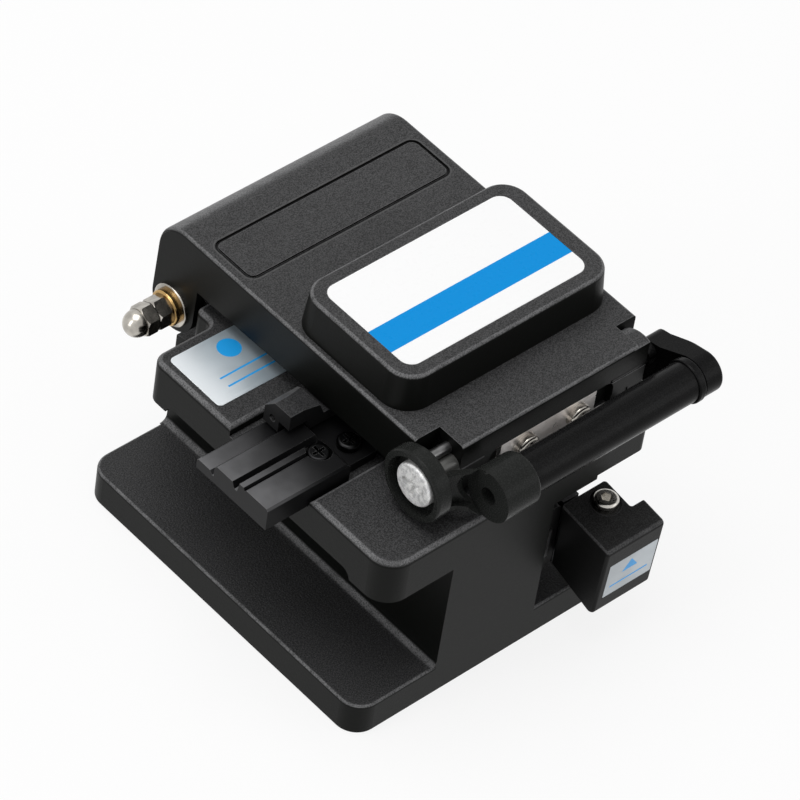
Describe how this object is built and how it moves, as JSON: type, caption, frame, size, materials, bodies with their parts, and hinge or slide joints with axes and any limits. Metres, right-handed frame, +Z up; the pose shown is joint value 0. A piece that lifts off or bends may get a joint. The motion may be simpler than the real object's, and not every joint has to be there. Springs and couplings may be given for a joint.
{
  "type": "fibre cleaver",
  "caption": "Bench fibre cleaver: cast base and deck, hinged lid with bar lever, grooved fibre guide, push-slide carriage with a round blade, clamp pads and anvil.",
  "frame": {"origin": "centre of the rubber mat under the base plate, on the plane it stands on", "axes": "+Z up, -Y the operator's side where the lever and push knob are, +X along the fibre and the lid's hinge"},
  "size_m": [0.0834, 0.0903, 0.0648],
  "materials": {
    "casting_black": "black baked coating over a die-cast alloy, satin with a fine grain on the upper faces",
    "guide_black": "black anodised, machined",
    "lever_black": "black baked coating, smooth satin",
    "knob_black": "black moulded plastic, satin",
    "plastic_black": "black moulded plastic",
    "rubber_black": "matt rubber",
    "alloy_dark": "dark anodised alloy",
    "steel_ground": "ground steel",
    "screw_dark": "blackened steel",
    "screw_bright": "bright zinc plated steel",
    "chrome": "bright nickel plating",
    "carbide": "lapped tungsten carbide",
    "brass": "turned brass"
  },
  "bodies": {
    "base": {"main_body": "casting_black", "rubber_base_mat": "rubber_black", "fibre_guide": "guide_black", "guide_screws": "screw_dark", "clamp_seat_left": "steel_ground", "clamp_seat_right": "steel_ground", "lower_pad_left": "rubber_black", "lower_pad_right": "rubber_black", "clamp_seat_screws": "screw_bright", "slide_rail": "steel_ground", "slide_rail_screws": "screw_dark"},
    "carriage": {"rail_block": "steel_ground", "rail_block_caps": "plastic_black", "blade_carriage": "alloy_dark", "carriage_screws": "screw_dark", "blade_arbor": "screw_bright", "push_knob": "knob_black", "push_knob_screw": "screw_bright"},
    "wheel": {"blade_wheel": "carbide"},
    "lid": {"lid": "casting_black", "hinge_bushes": "brass", "hinge_pin": "steel_ground", "hinge_washer": "chrome", "hinge_nut": "chrome", "acorn_nut": "chrome", "upper_bar_left": "alloy_dark", "upper_bar_right": "alloy_dark", "upper_pad_left": "rubber_black", "upper_pad_right": "rubber_black", "upper_bar_screws": "screw_bright", "window_plate": "chrome", "window_plate_screws": "chrome", "press_arm": "guide_black", "press_arm_pad": "rubber_black", "press_arm_screw": "screw_bright", "lever_pivot_screws": "chrome", "lever_stop_pin": "steel_ground"},
    "lever": {"lever": "lever_black"},
    "anvil": {"anvil": "alloy_dark", "anvil_pad": "rubber_black"}
  },
  "joints": [
    {"name": "lid_hinge", "type": "hinge", "parent": "base", "child": "lid", "pos_m": [0, 0.0377, 0.0385], "axis": [-1, 0, 0], "range_deg": [0, 85]},
    {"name": "carriage_slide", "type": "slide", "parent": "base", "child": "carriage", "axis": [0, 1, 0], "range_m": [0, 0.032]},
    {"name": "blade_index", "type": "hinge", "parent": "carriage", "child": "wheel", "pos_m": [0.0172, -0.024, 0.0379], "axis": [1, 0, 0], "continuous": true},
    {"name": "lever_swing", "type": "hinge", "parent": "lid", "child": "lever", "pos_m": [0, -0.0295, 0.0513], "axis": [-1, 0, 0], "range_deg": [0, 40]},
    {"name": "anvil_press", "type": "slide", "parent": "lid", "child": "anvil", "axis": [0, 0, -1], "range_m": [0, 0.0008]}
  ],
  "couplings": [
    {"joint": "anvil_press", "follows": "lever_swing", "m_per_rad": 0.001145}
  ]
}
